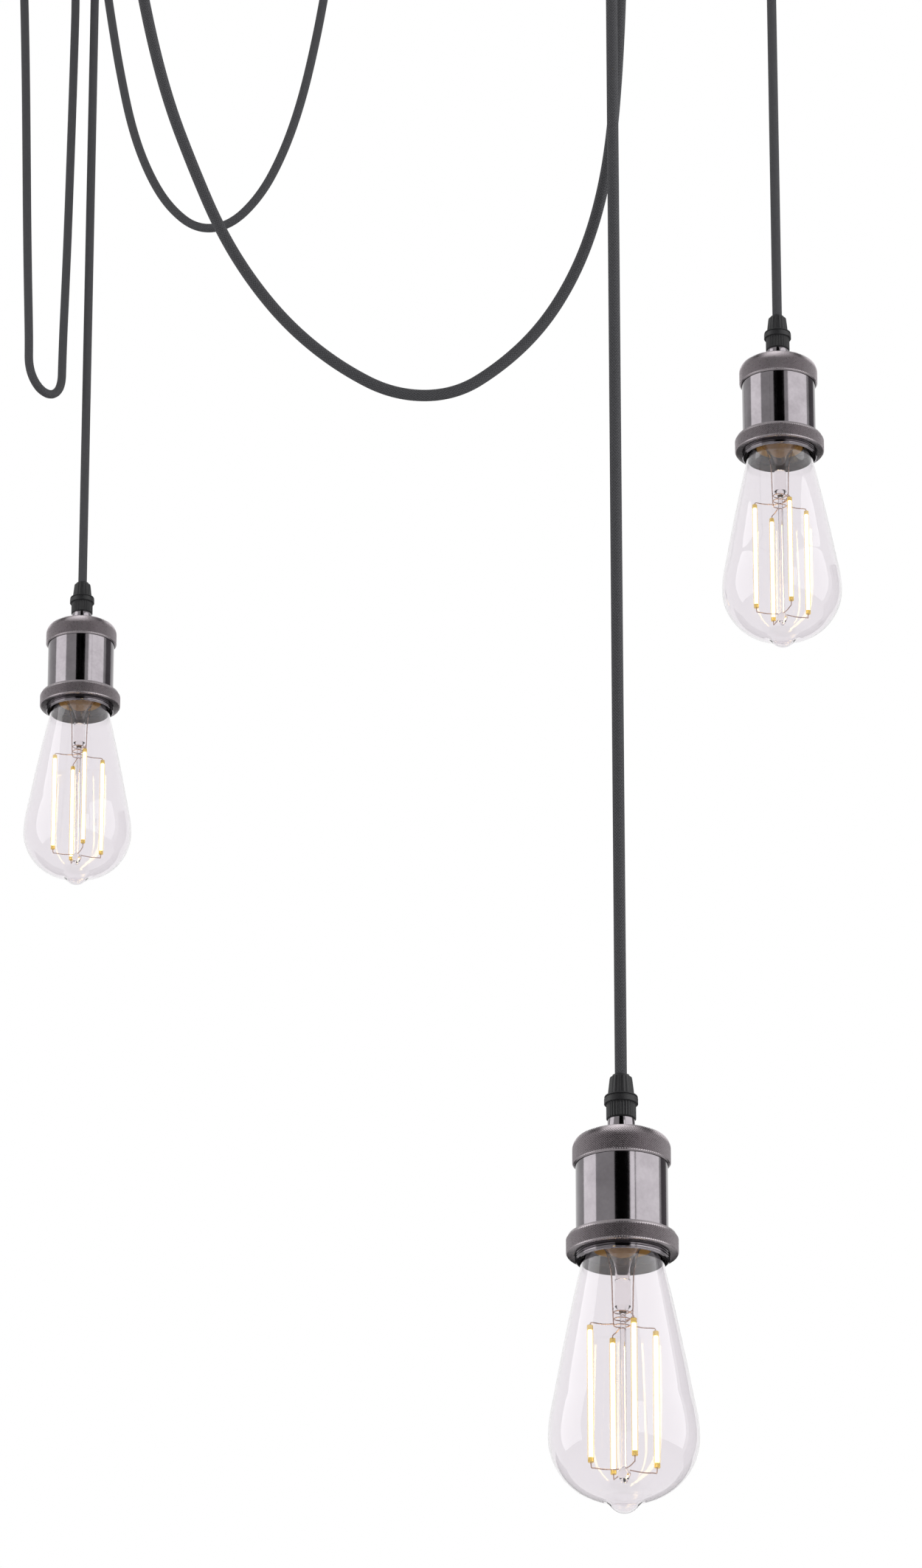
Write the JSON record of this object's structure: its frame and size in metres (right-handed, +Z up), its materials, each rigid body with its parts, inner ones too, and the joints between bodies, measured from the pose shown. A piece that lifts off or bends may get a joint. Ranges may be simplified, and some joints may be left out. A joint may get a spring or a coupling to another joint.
{
  "type": "cluster pendant",
  "caption": "Ceiling pendant with long bare filament bulbs in knurled metal lamp holders, hung on textile cords that swag over ceiling hooks from one round canopy.",
  "frame": {"origin": "middle of the canopy's strap, in the plane of the ceiling", "axes": "+Z up into the ceiling, +X to the picture's right, +Y away from the picture's camera"},
  "size_m": [0.5099, 1.159, 1.3948],
  "materials": {
    "canopy": "matt black powder coat",
    "bracket_steel": "zinc plated strap",
    "screw_steel": "blackened steel",
    "grip_plastic": "black moulded, fine satin",
    "terminal_plastic": "cream moulded",
    "hook_metal": "matt black",
    "cord_textile": "tight charcoal braid",
    "black_nickel": "polished black nickel",
    "knurled_nickel": "diamond knurled black nickel",
    "insulator": "black heat-proof moulding",
    "contact_brass": "bright brass",
    "core_insulation": "cord end and insulated cores",
    "bulb_clear": "clear, very pale lavender",
    "cap_brass": "rolled brass cap",
    "cap_end": "black glazed insulator with a solder pip",
    "stem_clear": "clear pressed stem",
    "filament": "warm white glowing sticks with gilt ends"
  },
  "bodies": {
    "ceiling_parts": {"canopy_cup": "canopy", "canopy_bracket": "bracket_steel", "canopy_screws": "screw_steel", "canopy_grips": "grip_plastic", "terminal_block": "terminal_plastic", "left_hook": "hook_metal", "right_hook": "hook_metal", "centre_hook": "hook_metal", "passing_hook": "hook_metal", "near_hook": "hook_metal", "left_loop_cord": "cord_textile", "right_swag_cord": "cord_textile", "centre_swag_cord": "cord_textile"},
    "left_pendant": {"left_drop_cord": "cord_textile", "left_grip_body": "grip_plastic", "left_neck_tube": "black_nickel", "left_shell_cap": "knurled_nickel", "left_barrel": "black_nickel", "left_socket_insulator": "insulator", "left_socket_contacts": "contact_brass", "left_core_wires": "core_insulation"},
    "left_nut": {"left_grip_nut": "grip_plastic"},
    "left_ring": {"left_shade_ring": "knurled_nickel"},
    "left_bulb_travel": {"left_bulb_end": "cap_end"},
    "left_bulb": {"left_bulb_glass": "bulb_clear", "left_bulb_cap": "cap_brass", "left_bulb_stem": "stem_clear", "left_bulb_filaments": "filament"},
    "centre_pendant": {"centre_drop_cord": "cord_textile", "centre_grip_body": "grip_plastic", "centre_neck_tube": "black_nickel", "centre_shell_cap": "knurled_nickel", "centre_barrel": "black_nickel", "centre_socket_insulator": "insulator", "centre_socket_contacts": "contact_brass", "centre_core_wires": "core_insulation"},
    "centre_nut": {"centre_grip_nut": "grip_plastic"},
    "centre_ring": {"centre_shade_ring": "knurled_nickel"},
    "centre_bulb_travel": {"centre_bulb_end": "cap_end"},
    "centre_bulb": {"centre_bulb_glass": "bulb_clear", "centre_bulb_cap": "cap_brass", "centre_bulb_stem": "stem_clear", "centre_bulb_filaments": "filament"},
    "right_pendant": {"right_drop_cord": "cord_textile", "right_grip_body": "grip_plastic", "right_neck_tube": "black_nickel", "right_shell_cap": "knurled_nickel", "right_barrel": "black_nickel", "right_socket_insulator": "insulator", "right_socket_contacts": "contact_brass", "right_core_wires": "core_insulation"},
    "right_nut": {"right_grip_nut": "grip_plastic"},
    "right_ring": {"right_shade_ring": "knurled_nickel"},
    "right_bulb_travel": {"right_bulb_end": "cap_end"},
    "right_bulb": {"right_bulb_glass": "bulb_clear", "right_bulb_cap": "cap_brass", "right_bulb_stem": "stem_clear", "right_bulb_filaments": "filament"}
  },
  "joints": [
    {"name": "left_swing", "type": "hinge", "parent": "ceiling_parts", "child": "left_pendant", "pos_m": [0.027, 0.062, -0.0499], "axis": [1, 0, 0], "range_deg": [-12, 12]},
    {"name": "left_nut_turn", "type": "hinge", "parent": "left_pendant", "child": "left_nut", "pos_m": [0.027, 0.062, 0], "axis": [0, 0, 1], "range_deg": [-1080, 0]},
    {"name": "left_ring_turn", "type": "hinge", "parent": "left_pendant", "child": "left_ring", "pos_m": [0.027, 0.062, 0], "axis": [0, 0, 1], "range_deg": [-1440, 720]},
    {"name": "left_bulb_unscrew", "type": "slide", "parent": "left_pendant", "child": "left_bulb_travel", "axis": [0, 0, -1], "range_m": [0, 0.0218]},
    {"name": "left_bulb_turn", "type": "hinge", "parent": "left_bulb_travel", "child": "left_bulb", "pos_m": [0.027, 0.062, 0], "axis": [0, 0, -1], "range_deg": [0, 2160]},
    {"name": "centre_swing", "type": "hinge", "parent": "ceiling_parts", "child": "centre_pendant", "pos_m": [0.323, -1.033, -0.0499], "axis": [0, 1, 0], "range_deg": [-12, 12]},
    {"name": "centre_nut_turn", "type": "hinge", "parent": "centre_pendant", "child": "centre_nut", "pos_m": [0.323, -1.033, 0], "axis": [0, 0, 1], "range_deg": [-1080, 0]},
    {"name": "centre_ring_turn", "type": "hinge", "parent": "centre_pendant", "child": "centre_ring", "pos_m": [0.323, -1.033, 0], "axis": [0, 0, 1], "range_deg": [-1440, 720]},
    {"name": "centre_bulb_unscrew", "type": "slide", "parent": "centre_pendant", "child": "centre_bulb_travel", "axis": [0, 0, -1], "range_m": [0, 0.0218]},
    {"name": "centre_bulb_turn", "type": "hinge", "parent": "centre_bulb_travel", "child": "centre_bulb", "pos_m": [0.323, -1.033, 0], "axis": [0, 0, -1], "range_deg": [0, 2160]},
    {"name": "right_swing", "type": "hinge", "parent": "ceiling_parts", "child": "right_pendant", "pos_m": [0.426, -0.393, -0.0499], "axis": [1, 0, 0], "range_deg": [-12, 12]},
    {"name": "right_nut_turn", "type": "hinge", "parent": "right_pendant", "child": "right_nut", "pos_m": [0.426, -0.393, 0], "axis": [0, 0, 1], "range_deg": [-1080, 0]},
    {"name": "right_ring_turn", "type": "hinge", "parent": "right_pendant", "child": "right_ring", "pos_m": [0.426, -0.393, 0], "axis": [0, 0, 1], "range_deg": [-1440, 720]},
    {"name": "right_bulb_unscrew", "type": "slide", "parent": "right_pendant", "child": "right_bulb_travel", "axis": [0, 0, -1], "range_m": [0, 0.0218]},
    {"name": "right_bulb_turn", "type": "hinge", "parent": "right_bulb_travel", "child": "right_bulb", "pos_m": [0.426, -0.393, 0], "axis": [0, 0, -1], "range_deg": [0, 2160]}
  ],
  "couplings": [
    {"joint": "left_bulb_unscrew", "follows": "left_bulb_turn", "m_per_rad": 0.00057757},
    {"joint": "centre_bulb_unscrew", "follows": "centre_bulb_turn", "m_per_rad": 0.00057757},
    {"joint": "right_bulb_unscrew", "follows": "right_bulb_turn", "m_per_rad": 0.00057757}
  ]
}
